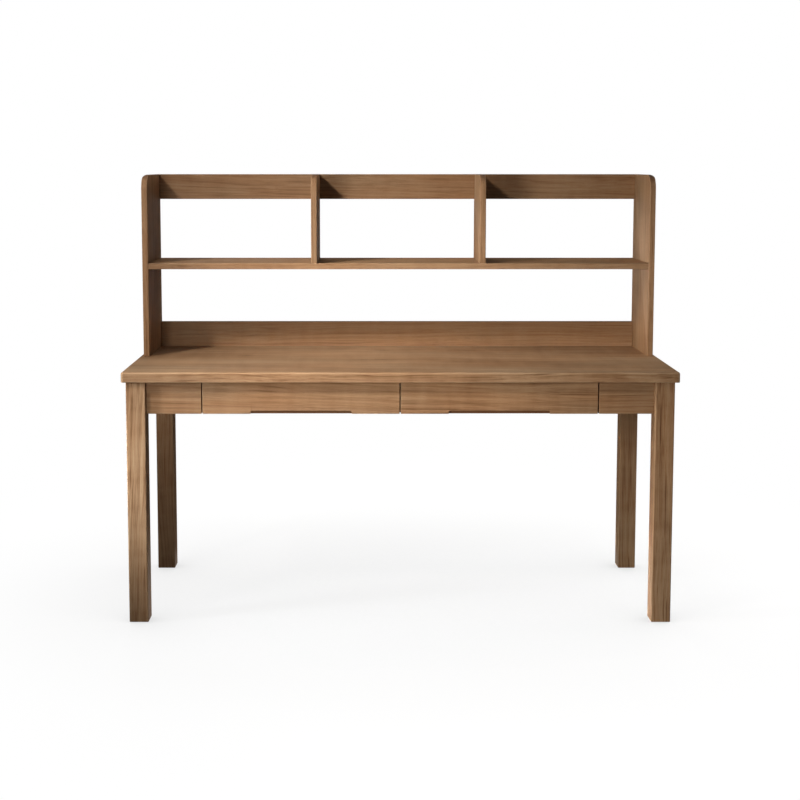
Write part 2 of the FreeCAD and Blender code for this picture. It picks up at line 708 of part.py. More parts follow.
def cam_joint(end, side, face, board, panel):
    """A cam disc in a board's face and its bolt in the panel that the board's end meets.

    The end is the middle of the board's end, side points at the panel and face out of the cam's bore.
    """
    inward = Vector(-side, 0, 0)
    centre = end + inward * cam_distance
    surface = centre + face * (hutch_thickness / 2)
    mouth = surface - face * cam_recess
    disc = rod(cam_diameter, mouth, face * -1, cam_height)
    gap = cam_bolt_diameter / 2 + cam_fit
    across = face.cross(inward)
    corner = centre - across * gap - face * gap + inward * gap
    disc = disc.cut(prism(rectangle(corner, across * (2 * gap), face * (2 * gap)), inward * -cam_diameter))
    slot_long, slot_thin = cam_diameter * recess_width_share, cam_diameter * recess_slot_share
    slot_deep = (hutch_thickness / 2 - cam_recess - gap) * recess_depth_share
    start = mouth - inward * (slot_long / 2) - across * (slot_thin / 2) + face * overrun
    slot = prism(rectangle(start, inward * slot_long, across * slot_thin), face * -(slot_deep + overrun))
    add("hutch_cam_discs", disc.cut(slot))
    drill(rod(cam_diameter + 2 * cam_fit, surface + face * overrun, face * -1,
              overrun + cam_recess + cam_height + cam_fit), board)
    bolt_length = cam_bolt_bite + cam_distance - cam_bolt_short
    bolt_start = end - inward * cam_bolt_bite
    add("hutch_cam_bolts", rod(cam_bolt_diameter, bolt_start, inward, bolt_length))
    drill(rod(cam_bolt_diameter + 2 * cam_fit, end - inward * overrun, inward, cam_distance + overrun), board)
    drill(rod(cam_bolt_diameter + 2 * screw_fit, bolt_start - inward * screw_tip_gap, inward,
              cam_bolt_bite + screw_tip_gap + overrun), panel)


def finished(name):
    """A node's solids, with what is drilled out of them."""
    tools = bores.get(name)
    made = [shape.cut(tools) if tools else shape for shape in solids[name]]
    return [solid for shape in made for solid in shape.Solids]


def main():
    make_desktop()
    for end in (-1, 1):
        for side in (-1, 1):
            make_leg(end, side)
            make_corner(end, side)
    make_aprons()
    make_bay_walls()
    make_angles()
    for side in (-1, 1):
        make_drawer(side)
    make_hutch_uprights()
    make_hutch_boards()
    os.makedirs("parts", exist_ok=True)
    for name in solids:
        made = finished(name)
        shape = made[0] if len(made) == 1 else Part.makeCompound(made)
        shape.exportStep(f"parts/{name}.step")


main()
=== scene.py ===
import math

import bmesh
import bpy
import numpy as np
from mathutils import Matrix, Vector


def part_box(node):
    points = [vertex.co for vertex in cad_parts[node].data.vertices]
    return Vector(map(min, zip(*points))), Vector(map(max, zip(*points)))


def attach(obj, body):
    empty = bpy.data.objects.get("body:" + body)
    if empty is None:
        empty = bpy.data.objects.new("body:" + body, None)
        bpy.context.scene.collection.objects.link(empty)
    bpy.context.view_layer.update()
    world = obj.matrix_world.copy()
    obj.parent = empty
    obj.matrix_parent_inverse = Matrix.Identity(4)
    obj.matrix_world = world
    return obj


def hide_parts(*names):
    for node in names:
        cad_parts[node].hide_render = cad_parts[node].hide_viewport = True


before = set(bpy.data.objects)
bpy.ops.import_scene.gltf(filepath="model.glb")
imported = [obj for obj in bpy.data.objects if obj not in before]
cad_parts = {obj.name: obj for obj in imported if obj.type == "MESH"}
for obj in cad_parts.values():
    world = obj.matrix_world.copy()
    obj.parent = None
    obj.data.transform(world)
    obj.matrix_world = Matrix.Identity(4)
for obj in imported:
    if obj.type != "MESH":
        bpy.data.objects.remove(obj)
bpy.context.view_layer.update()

# Legs
# Four square posts of stained hardwood, planed with eased corners and a small chamfer round the
# foot. Dowels and a bent plate with a hanger bolt in each corner hold them to the aprons.

leg_edge, foot_chamfer, crisp = 0.003, 0.0015, 0.0005
# Rounds between these two radii are rubbed paler by use.
least_rub, most_rub = 0.001, 0.01
weld_reach = 1e-6


def rounded_outline(corners, radii, steps):
    """Outline of a section whose corner k is an arc of radius r that touches both of its sides.

    A point is the arc's centre plus r times the outward direction, which turns evenly from the one
    side's to the other's; in a hollow corner it is the centre less r times that direction.
    Gives the points, their outward directions and the share of its corner that each has turned.
    """
    corners, radii = np.asarray(corners, float), np.asarray(radii, float)
    before = corners - np.roll(corners, 1, -2)
    after = np.roll(before, -1, -2)
    before = before / np.linalg.norm(before, axis=-1, keepdims=True)
    after = after / np.linalg.norm(after, axis=-1, keepdims=True)
    turn = np.arctan2(before[..., 0] * after[..., 1] - before[..., 1] * after[..., 0],
                      (before * after).sum(-1))
    out = np.stack((before[..., 1], -before[..., 0]), -1)
    reach = np.where(turn < 0, -radii, radii)[..., None]
    centre = corners - before * (radii * np.tan(np.abs(turn) / 2))[..., None] - reach * out
    share = np.linspace(0, 1, steps + 1)
    angle = turn[..., None] * share
    cos, sin = np.cos(angle), np.sin(angle)
    across, up = out[..., 0, None], out[..., 1, None]
    outward = np.stack((across * cos - up * sin, across * sin + up * cos), -1)
    points = centre[..., None, :] + reach[..., None] * outward
    flat = points.shape[:-3] + (-1, 2)
    return points.reshape(flat), outward.reshape(flat), np.tile(share, corners.shape[-2])


def carried(points, outward, start, end, ease, steps):
    """Rings of a section between two places on its axis, with eased ends.

    At an end the angle q runs over a quarter turn: the outline is drawn in by ease (1 - sin q) and
    the ring lies ease (1 - cos q) inside the end. One step makes a chamfer, more make a round.
    """
    turn = [np.linspace(0, math.pi / 2, count + 1) for count in steps]
    turn[1] = turn[1][::-1]
    ease = [np.broadcast_to(np.asarray(e, float), points.shape[-2]) for e in ease]
    inset = np.concatenate([np.outer(1 - np.sin(q), e) for q, e in zip(turn, ease)])
    first = start + np.outer(1 - np.cos(turn[0]), ease[0])
    last = end - np.outer(1 - np.cos(turn[1]), ease[1])
    rubbed = np.concatenate([np.outer(np.sin(2 * q), e > least_rub) for q, e in zip(turn, ease)])
    curved = np.array([True] * steps[0] + [False] + [True] * steps[1])
    return points - inset[..., None] * outward, np.concatenate((first, last)), rubbed, curved


def placed(name, data):
    """A new object in the scene that shows a mesh, a lamp or a camera."""
    made = bpy.data.objects.new(name, data)
    bpy.context.scene.collection.objects.link(made)
    return made


def skin(name, axis, section, along, rubbed, curved_sides, curved_rings):
    """A closed mesh over rings: vertex (j, i) is point i of section j at its place along the axis.

    Quads join neighbours round and along the rings, and one flat face closes each end. A quad is
    shaded flat where neither its side nor its ring step is curved. "rubbed" is kept for the stain: edge
    wear, and below zero the painted shade inside a finger pull.
    Points of a corner that the ease draws in to one point are welded.
    """
    order = {"x": (2, 0, 1), "y": (1, 2, 0), "z": (0, 1, 2)}[axis]
    vertices = np.concatenate((section, along[..., None]), -1)[..., order].reshape(-1, 3)
    at = np.arange(along.size).reshape(along.shape)
    beside = np.roll(at, -1, 1)
    quads = np.stack((at[:-1], beside[:-1], beside[1:], at[1:]), -1).reshape(-1, 4)
    mesh = bpy.data.meshes.new(name)
    mesh.from_pydata(vertices.tolist(), [], quads.tolist() + [at[0, ::-1].tolist(), at[-1].tolist()])
    smooth = (curved_rings[:, None] | curved_sides[None, :]).ravel()
    mesh.polygons.foreach_set("use_smooth", np.append(smooth, [False, False]))
    mesh.attributes.new("rubbed", "FLOAT", "POINT").data.foreach_set("value", rubbed.ravel())
    weld = bmesh.new()
    weld.from_mesh(mesh)
    bmesh.ops.remove_doubles(weld, verts=weld.verts, dist=weld_reach)
    bmesh.ops.dissolve_degenerate(weld, edges=weld.edges, dist=weld_reach)
    weld.to_mesh(mesh)
    weld.free()
    return placed(name, mesh)


def rubbed_corners(radii, share, steps):
    """How far the points of an outline are rubbed: half a sine wave over each small round corner."""
    radii = np.asarray(radii)
    small = np.repeat((radii > least_rub) & (radii < most_rub), steps + 1)
    return np.sin(math.pi * share) * small


def board(name, axis, corners, radii, ends, ease, steps, corner_steps=6):
    """A board: a section with rounded corners, carried straight along an axis between two ends."""
    points, outward, share = rounded_outline(corners, radii, corner_steps)
    section, along, rubbed, curved_rings = carried(points, outward, *ends, ease, steps)
    rubbed = np.maximum(rubbed, rubbed_corners(radii, share, corner_steps))
    curved_sides = np.roll(share, -1) > share
    return skin(name, axis, section, along, rubbed, curved_sides, curved_rings)


def square(node, axis):
    """The four corners of a CAD node's box, seen along an axis, and its two ends on that axis."""
    low, high = np.array(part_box(node))
    along = "xyz".index(axis)
    u, v = (along + 1) % 3, (along + 2) % 3
    corners = [(low[u], low[v]), (high[u], low[v]), (high[u], high[v]), (low[u], high[v])]
    return corners, (low[along], high[along])


def colour(red, green, blue):
    """A colour given as it looks on screen, from 0 to 255, as the light values that a shader takes."""
    seen = np.array((red, green, blue)) / 255
    return (*np.where(seen < 0.04045, seen / 12.92, ((seen + 0.055) / 1.055) ** 2.4), 1.0)


def new_finish(name):
    """A new material with its node tree and its surface shader."""
    material = bpy.data.materials.new(name)
    material.use_nodes = True
    return material, material.node_tree, material.node_tree.nodes["Principled BSDF"]


def add(tree, kind, inputs, **settings):
    """A shader node. Its inputs, by name or number, are values or other nodes' outputs."""
    node = tree.nodes.new("ShaderNode" + kind)
    for key, value in settings.items():
        setattr(node, key, value)
    for key, value in inputs.items():
        if isinstance(value, bpy.types.NodeSocket):
            tree.links.new(value, node.inputs[key])
        else:
            node.inputs[key].default_value = value
    return node


def stretched(tree, place, frequency, detail, roughness=0.5):
    """Noise with its own number of waves per metre along, across and through the grain."""
    scaled = add(tree, "VectorMath", {0: place, 1: frequency}, operation="MULTIPLY")
    noise = add(tree, "TexNoise", {"Vector": scaled.outputs[0], "Scale": 1.0, "Detail": detail,
                                   "Roughness": roughness})
    return noise.outputs["Fac"]


def weighed(tree, start, *shares):
    """A sum of start and of each (output, weight)."""
    total = start
    for output, weight in shares:
        part = add(tree, "Math", {0: output, 1: weight, 2: total}, operation="MULTIPLY_ADD")
        total = part.outputs[0]
    return total


def ramp(tree, value, stops):
    """A run of colours over a value, by (position, colour)."""
    node = add(tree, "ValToRGB", {"Fac": value})
    for _ in stops[2:]:
        node.color_ramp.elements.new(0.5)
    for element, (position, shade) in zip(node.color_ramp.elements, stops):
        element.position, element.color = position, shade
    return node.outputs["Color"]


def blended(tree, amount, under, over):
    """A colour that goes from under to over as the amount goes from 0 to 1."""
    first_colour, second_colour, mixed_colour = 6, 7, 2
    mix = add(tree, "Mix", {"Factor": amount, first_colour: under, second_colour: over}, data_type="RGBA")
    return mix.outputs[mixed_colour]


def lay_finish(tree, shader, shade, rough, relief, strength, height):
    """Links colour, roughness and relief to the shader; the height is that of a full relief."""
    bump = add(tree, "Bump", {"Strength": strength, "Distance": height, "Height": relief})
    for output, socket in ((shade, "Base Color"), (rough, "Roughness"), (bump.outputs[0], "Normal")):
        tree.links.new(output, shader.inputs[socket])


def stained_walnut():
    """Stained timber in the board's own grain coordinates, which "grain" holds for each point.

    Growth rings are bands of the distance from the pith, which wanders; streaks, fibres and pores
    are noise drawn out along the grain, and "figure" says how strongly they show on the board.
    "finish" holds rubbed edge, end grain together with the painted shade inside the finger pulls, and
    board tone; the stain's hue drifts from warm to cool.
    """
    material, tree, shader = new_finish("walnut_stain")
    grain = add(tree, "Attribute", {}, attribute_name="grain").outputs["Vector"]
    finish = add(tree, "Attribute", {}, attribute_name="finish").outputs["Vector"]
    rubbed, end_grain_and_pull_shade, tone = add(tree, "SeparateXYZ", {0: finish}).outputs
    slow = add(tree, "VectorMath", {0: grain, 1: (1.3, 6.0, 6.0)}, operation="MULTIPLY")
    waver = add(tree, "TexNoise", {"Vector": slow.outputs[0], "Scale": 1.0, "Detail": 2.0})
    bent = add(tree, "VectorMath", {0: waver.outputs["Color"], 1: (0.0, 0.05, 0.05), 2: grain},
               operation="MULTIPLY_ADD")
    from_pith = add(tree, "VectorMath", {0: bent.outputs[0], 1: (0.0, 1.0, 1.0)}, operation="MULTIPLY")
    radius = add(tree, "VectorMath", {0: from_pith.outputs[0]}, operation="LENGTH").outputs["Value"]
    rings_per_metre = 105.0
    turns = add(tree, "Math", {0: radius, 1: rings_per_metre}, operation="MULTIPLY").outputs[0]
    rings = add(tree, "TexNoise", {"W": turns, "Scale": 1.0, "Detail": 3.0, "Roughness": 0.62},
                noise_dimensions="1D").outputs["Fac"]
    streaks = stretched(tree, bent.outputs[0], (2.4, 130.0, 130.0), 3.0)
    lines = stretched(tree, bent.outputs[0], (1.7, 190.0, 190.0), 2.0)
    dark_lines = ramp(tree, lines, [(0.60, (0, 0, 0, 1)), (0.72, (1, 1, 1, 1))])
    fibres = stretched(tree, bent.outputs[0], (11.0, 560.0, 560.0), 2.0)
    patches = stretched(tree, grain, (1.6, 8.0, 8.0), 2.0)
    ripple = stretched(tree, grain, (24.0, 7.0, 7.0), 1.0)
    pores = stretched(tree, grain, (70.0, 2300.0, 2300.0), 1.0)
    least_depth, mean_depth = -0.03, 0.5
    swing = weighed(tree, least_depth - mean_depth, (rings, 0.20), (streaks, 0.32), (fibres, 0.22),
                    (patches, 0.22), (ripple, 0.12), (dark_lines, -0.13))
    figure = add(tree, "Attribute", {}, attribute_name="figure").outputs["Fac"]
    depth = add(tree, "Math", {0: swing, 1: figure, 2: mean_depth}, operation="MULTIPLY_ADD").outputs[0]
    shade = ramp(tree, depth, [(0.25, colour(92, 63, 41)), (0.42, colour(132, 98, 69)),
                               (0.55, colour(154, 120, 89)), (0.80, colour(178, 146, 113))])
    open_pores = ramp(tree, pores, [(0.30, (1, 1, 1, 1)), (0.40, (0, 0, 0, 1))])
    darker = blended(tree, weighed(tree, 0.0, (open_pores, 0.3)), shade, colour(70, 46, 29))
    # End grain turns dark brown; inside the finger pulls the same dark colour is painted shade.
    ends = blended(tree, weighed(tree, 0.0, (end_grain_and_pull_shade, 0.75)), darker, colour(84, 50, 28))
    patchy = add(tree, "MapRange", {"Value": patches, "From Min": 0.35, "From Max": 0.65,
                                    "To Min": 0.1, "To Max": 0.4}).outputs[0]
    wear = add(tree, "Math", {0: rubbed, 1: patchy}, operation="MULTIPLY").outputs[0]
    worn = blended(tree, wear, ends, colour(196, 166, 134))
    drift = ramp(tree, stretched(tree, grain, (2.6, 15.0, 15.0), 2.0),
                 [(0.36, (1.02, 0.98, 0.94, 1)), (0.64, (0.97, 1.01, 1.04, 1))])
    drifted = add(tree, "VectorMath", {0: worn, 1: drift}, operation="MULTIPLY").outputs[0]
    toned = add(tree, "VectorMath", {0: drifted, "Scale": tone}, operation="SCALE").outputs[0]
    rough = weighed(tree, 0.42, (fibres, 0.16), (open_pores, 0.14), (patches, 0.10), (rubbed, -0.04))
    relief = weighed(tree, 0.0, (fibres, 0.5), (streaks, 0.25), (open_pores, -0.6))
    lay_finish(tree, shader, toned, rough, relief, strength=0.35, height=0.0004)
    shader.inputs["Specular IOR Level"].default_value = 0.16
    return material


walnut = stained_walnut()
most_lean = 0.035
along_log, pith_across, pith_through = (5, 60), (0.02, 0.11), (0.03, 0.09)
least_end_grain = 0.375


def stain(made, body, node, grain, seed, tone=1.0, figure=1.0):
    """Cuts a board from its own log and hangs it on its body in place of its CAD node.

    The grain coordinates are the point's place along, across and through the board, moved to a
    pith that lies beside the board and leans a little; seed picks the log, tone its darkness and
    figure how strongly its grain shows.
    End grain is where all the faces round a point look along the grain, so that the mouth of a bore
    has none. A rubbed value below zero marks the faces inside a finger pull, which take the end
    grain's dark colour as painted shade in the recess.
    """
    draw = np.random.default_rng(seed)
    mesh = made.data
    place = np.empty(len(mesh.vertices) * 3)
    mesh.vertices.foreach_get("co", place)
    order = ["xyz".index(letter) for letter in grain]
    place = place.reshape(-1, 3)[:, order]
    corner_points = np.empty(len(mesh.loops), np.int32)
    corner_counts = np.empty(len(mesh.polygons), np.int32)
    looks = np.empty(len(mesh.polygons) * 3)
    mesh.loops.foreach_get("vertex_index", corner_points)
    mesh.polygons.foreach_get("loop_total", corner_counts)
    mesh.polygons.foreach_get("normal", looks)
    looks = np.abs(looks.reshape(-1, 3)[:, order[0]])
    facing = np.ones(len(place))
    np.minimum.at(facing, corner_points, np.repeat(looks, corner_counts))
    place = place - (place.min(0) + place.max(0)) / 2
    lean = draw.uniform(-most_lean, most_lean, 2)
    pith = np.array((draw.uniform(*along_log), draw.choice((-1, 1)) * draw.uniform(*pith_across),
                     draw.choice((-1, 1)) * draw.uniform(*pith_through)))
    logged = place + pith + place[:, :1] * np.array((0.0, *lean))
    rubbed = np.empty(len(place))
    mesh.attributes["rubbed"].data.foreach_get("value", rubbed)
    end_grain_and_pull_shade = np.clip((facing - least_end_grain) / (1 - least_end_grain), 0, 1)
    end_grain_and_pull_shade = np.maximum(end_grain_and_pull_shade, -rubbed)
    finish = np.stack((np.clip(rubbed, 0, 1), end_grain_and_pull_shade, np.full(len(place), tone)), -1)
    for name, values in (("grain", logged), ("finish", finish)):
        mesh.attributes.new(name, "FLOAT_VECTOR", "POINT").data.foreach_set("vector", values.ravel())
    shown = np.full(len(place), figure)
    mesh.attributes.new("figure", "FLOAT", "POINT").data.foreach_set("value", shown)
    mesh.attributes.remove(mesh.attributes["rubbed"])
    mesh.materials.append(walnut)
    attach(made, body)
    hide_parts(node)


# Each leg's log, its darkness and how strongly its grain shows. The rear left leg's lower tone is painted
# shade.
leg_stock = {"front_left_leg": (11, 1.04, 1.8), "front_right_leg": (12, 1.05, 1.6),
             "rear_left_leg": (13, 0.89, 1.5), "rear_right_leg": (14, 0.97, 1.4)}
for node, (seed, tone, figure) in leg_stock.items():
    corners, ends = square(node, "z")
    post = board(node + "_post", "z", corners, [leg_edge] * 4, ends, (foot_chamfer, crisp),
                 steps=(1, 3))
    stain(post, "desk", node, "zxy", seed, tone, figure)

# Glides
# Round pads of dark moulded nylon, one under each leg, held by the nail that is moulded in.
# The CAD solids have the pad's shape, so they stay and take a matt, finely pitted plastic.


def moulded_nylon():
    """Matt dark plastic: a fine pitted grain in bump and roughness, with a faint cloudy tone."""
    material, tree, shader = new_finish("moulded_nylon")
    place = add(tree, "TexCoord", {}).outputs["Object"]
    cloud = stretched(tree, place, (90.0, 90.0, 90.0), 2.0)
    pits = stretched(tree, place, (1500.0, 1500.0, 1500.0), 1.0)
    shade = ramp(tree, weighed(tree, 0.0, (cloud, 0.7), (pits, 0.3)),
                 [(0.3, colour(38, 32, 28)), (0.7, colour(58, 50, 44))])
    rough = weighed(tree, 0.45, (pits, 0.2))
    lay_finish(tree, shader, shade, rough, pits, strength=0.3, height=0.0002)
    return material


def finish_nodes(material, *nodes):
    """Gives the solids that stay as they were cut a finish of their own."""
    for node in nodes:
        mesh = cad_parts[node].data
        mesh.materials.clear()
        mesh.materials.append(material)


finish_nodes(moulded_nylon(), "leg_glides")

# Aprons and fixed front panels
# Upright boards of the same stained timber between the legs, with their lower edges rounded.
# The rear apron has sunk bores for the screws that hold the bay walls.

bore_sides, drill_lead = 32, 0.001


def bore(made, mouths, direction, diameter, depth):
    """Sinks round bores in a board: each is a circle about its mouth, carried along a direction
    from the drill's lead outside the face to the bore's floor, and cut out of the board.

    The drill and the uncut mesh are then thrown away.
    """
    mouths, direction = np.asarray(mouths, float), np.asarray(direction, float)
    side = np.roll(direction, 1)
    turn = np.linspace(0, 2 * math.pi, bore_sides, endpoint=False)[:, None]
    circle = (np.cos(turn) * side + np.sin(turn) * np.cross(direction, side)) * diameter / 2
    rise = np.array((-drill_lead, depth))[None, :, None, None] * direction
    points = (mouths[:, None, None, :] + rise + circle).reshape(-1, 3)
    at = np.arange(len(points)).reshape(len(mouths), 2, len(turn))
    beside = np.roll(at, -1, 2)
    walls = np.stack((at[:, 0], beside[:, 0], beside[:, 1], at[:, 1]), -1).reshape(-1, 4)
    faces = walls.tolist() + at[:, 0, ::-1].tolist() + at[:, 1].tolist()
    mesh = bpy.data.meshes.new("drill")
    mesh.from_pydata(points.tolist(), [], faces)
    drill = placed("drill", mesh)
    cut = made.modifiers.new("bores", "BOOLEAN")
    cut.operation, cut.solver, cut.object = "DIFFERENCE", "EXACT", drill
    whole = made.data
    graph = bpy.context.evaluated_depsgraph_get()
    made.data = bpy.data.meshes.new_from_object(made.evaluated_get(graph))
    made.modifiers.clear()
    for old in (drill.data, whole):
        bpy.data.meshes.remove(old)


def box_middle(node):
    """The middle of a CAD node's box."""
    return np.mean(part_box(node), axis=0)


def between(start, end, shares):
    """The places that lie at shares of the way from start to end."""
    return [start + share * (end - start) for share in shares]


apron_round = 0.002
panel_head_bore, panel_head_depth = 0.0086, 0.0033
wall_screw_shares = (0.3, 0.75)
bay_walls = ("left_bay_wall", "centre_bay_wall", "right_bay_wall")
for node, seed, tone in (("left_side_apron", 21, 1.0), ("right_side_apron", 22, 0.98)):
    corners, ends = square(node, "y")
    radii = [apron_round, crisp, crisp, apron_round]
    made = board(node + "_board", "y", corners, radii, ends, (crisp, crisp), steps=(2, 2))
    stain(made, "desk", node, "yzx", seed, tone)
for node, seed, tone in (("left_front_panel", 23, 1.0), ("right_front_panel", 24, 0.99),
                         ("rear_apron", 25, 0.98)):
    corners, ends = square(node, "x")
    radii = [apron_round, apron_round, crisp, crisp]
    made = board(node + "_board", "x", corners, radii, ends, (crisp, crisp), steps=(2, 2))
    if node == "rear_apron":
        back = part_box(node)[1][1]
        (_, _, wall_low), (_, _, wall_high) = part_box(bay_walls[0])
        mouths = [(box_middle(wall)[0], back, height) for wall in bay_walls
                  for height in between(wall_low, wall_high, wall_screw_shares)]
        bore(made, mouths, (0, -1, 0), panel_head_bore, panel_head_depth)
    stain(made, "desk", node, "xzy", seed, tone)

# Front stretcher and bay walls
# A flat rail of the stained timber behind the drawer fronts, screwed up into the desktop, and three
# boards that run back from it to the rear apron and carry the slides, notched round the stretcher.

stretcher_screw_shares = (-0.75, -0.3, 0.3, 0.75)
joint_fit = 0.0002
corners, ends = square("front_stretcher", "x")
(front, under), (back, _) = corners[0], corners[2]
stretcher = board("front_stretcher_rail", "x", corners, [crisp] * 4, ends, (crisp, crisp), steps=(2, 2))
wall_x = box_middle("right_bay_wall")[0]
mouths = [(share * wall_x, (front + back) / 2, under) for share in stretcher_screw_shares]
bore(stretcher, mouths, (0, 0, 1), panel_head_bore, panel_head_depth)
stain(stretcher, "desk", "front_stretcher", "xyz", seed=31, tone=0.96)
notch_back, notch_low = back + joint_fit, under
for node, seed in zip(bay_walls, (32, 33, 34)):
    (front_low, back_low, back_high, _), ends = square(node, "x")
    outline = [front_low, back_low, back_high, (notch_back, back_high[1]), (notch_back, notch_low),
               (front_low[0], notch_low)]
    made = board(node + "_board", "x", outline, [crisp] * 6, ends, (crisp, crisp), steps=(2, 2),
                 corner_steps=3)
    stain(made, "desk", node, "yzx", seed, tone=0.95)

# Corner plates, angles, bolts and screws
# Bent zinc plates across the corners with hanger bolts and nuts, angles under the desktop, and
# plated wood screws. All are the CAD solids with a plated finish; the dowels are raw beech.


def plated(name, dark, light, roughness, brushed):
    """Plated steel: cloudy crystals in the tone, fine scratches along the brushed direction.

    Both shift the roughness about its mean, because each noise is a half on average.
    """
    material, tree, shader = new_finish(name)
    place = add(tree, "TexCoord", {}).outputs["Object"]
    cloud = stretched(tree, place, (140.0, 140.0, 140.0), 3.0, 0.6)
    scratches = stretched(tree, place, brushed, 2.0)
    mottle = weighed(tree, 0.0, (cloud, 0.6), (scratches, 0.4))
    shade = ramp(tree, mottle, [(0.32, dark), (0.68, light)])
    cloud_part, scratch_part = 0.12, 0.16
    rough = weighed(tree, roughness - (cloud_part + scratch_part) / 2, (cloud, cloud_part),
                    (scratches, scratch_part))
    lay_finish(tree, shader, shade, rough, scratches, strength=0.2, height=0.0001)
    shader.inputs["Metallic"].default_value = 1.0
    return material


zinc_plate = plated("zinc_plate", colour(158, 160, 162), colour(206, 208, 208), 0.38,
                    (700.0, 700.0, 60.0))
plated_screws = plated("plated_screws", colour(150, 147, 138), colour(205, 202, 190), 0.34,
                       (900.0, 900.0, 900.0))
finish_nodes(zinc_plate, "corner_brackets", "top_brackets")
finish_nodes(plated_screws, "corner_bolts", "corner_nuts", "bracket_screws", "panel_screws",
             "slide_wall_screws", "left_drawer_front_screws", "left_drawer_slide_screws",
             "right_drawer_front_screws", "right_drawer_slide_screws", "hutch_base_screws",
             "hutch_cam_bolts", "hutch_cam_discs")


def pale_timber(name, along, dark, light, waves=1.0):
    """Clear lacquered pale timber in Object coordinates, its grain along one of the axes.

    The tone is slow bands and fine fibres, both noise drawn out along the grain.
    """
    material, tree, shader = new_finish(name)
    place = add(tree, "TexCoord", {}).outputs["Object"]

    def drawn_out(long, fine, detail):
        """Noise with few waves along the grain and many across it."""
        frequency = [fine * waves] * 3
        frequency["xyz".index(along)] = long
        return stretched(tree, place, frequency, detail)

    bands = drawn_out(1.5, 45.0, 3.0)
    fibres = drawn_out(14.0, 620.0, 2.0)
    pores = drawn_out(90.0, 2400.0, 1.0)
    shade = ramp(tree, weighed(tree, -0.1, (bands, 0.7), (fibres, 0.35), (pores, 0.15)),
                 [(0.28, dark), (0.72, light)])
    rough = weighed(tree, 0.36, (fibres, 0.15), (pores, 0.1))
    relief = weighed(tree, 0.0, (fibres, 0.6), (pores, 0.4))
    lay_finish(tree, shader, shade, rough, relief, strength=0.25, height=0.0003)
    shader.inputs["Specular IOR Level"].default_value = 0.35
    return material


finish_nodes(pale_timber("raw_beech", "x", colour(176, 140, 100), colour(212, 180, 140)), "dowels")

# Slides
# Ball slides of rolled zinc plated strip: an outer channel on the wall, a middle one, and an inner
# one on the drawer side, with a ball cage in each gap. The CAD solids stay, brushed along the run.

rail_zinc = plated("zinc_rail", colour(165, 168, 170), colour(212, 214, 215), 0.30,
                   (900.0, 8.0, 900.0))
cage_steel = plated("cage_steel", colour(120, 122, 124), colour(170, 172, 174), 0.32,
                    (600.0, 25.0, 600.0))
for drawer in ("left_drawer", "right_drawer"):
    finish_nodes(rail_zinc, drawer + "_outer_rails", drawer + "_middle_rails", drawer + "_inner_rails")
    finish_nodes(cage_steel, drawer + "_outer_cages", drawer + "_inner_cages")

# Drawer boxes
# Boxes of clear lacquered birch, with a thin plywood bottom that slides in a groove all round.
# The CAD solids stay; the sides have their grain front to back, the front and back across.

birch_dark, birch_light = colour(190, 160, 120), colour(226, 200, 162)
birch_across = pale_timber("birch_across", "x", birch_dark, birch_light)
birch_back = pale_timber("birch_front_to_back", "y", birch_dark, birch_light)
birch_ply = pale_timber("birch_ply", "x", colour(196, 168, 130), colour(222, 197, 160), 0.5)
for drawer in ("left_drawer", "right_drawer"):
    finish_nodes(birch_across, drawer + "_box_front", drawer + "_back")
    finish_nodes(birch_back, drawer + "_left_side", drawer + "_right_side")
    finish_nodes(birch_ply, drawer + "_bottom")

# Drawer fronts
# Boards of the stained timber with their front edges rounded and a finger pull cut in the lower
# edge: its ceiling rises inwards, and rounds down at both ends. Screwed on from inside the box.

front_round = 0.0015
pull_length, pull_height, pull_depth = 0.292, 0.008, 0.008
pull_rise, pull_round, pull_lean = 0.006, 0.005, 0.002
pull_steps, front_steps = 6, 6
worn_corners = [1.0, 0.0, 0.0, 0.0, 0.0, 1.0]


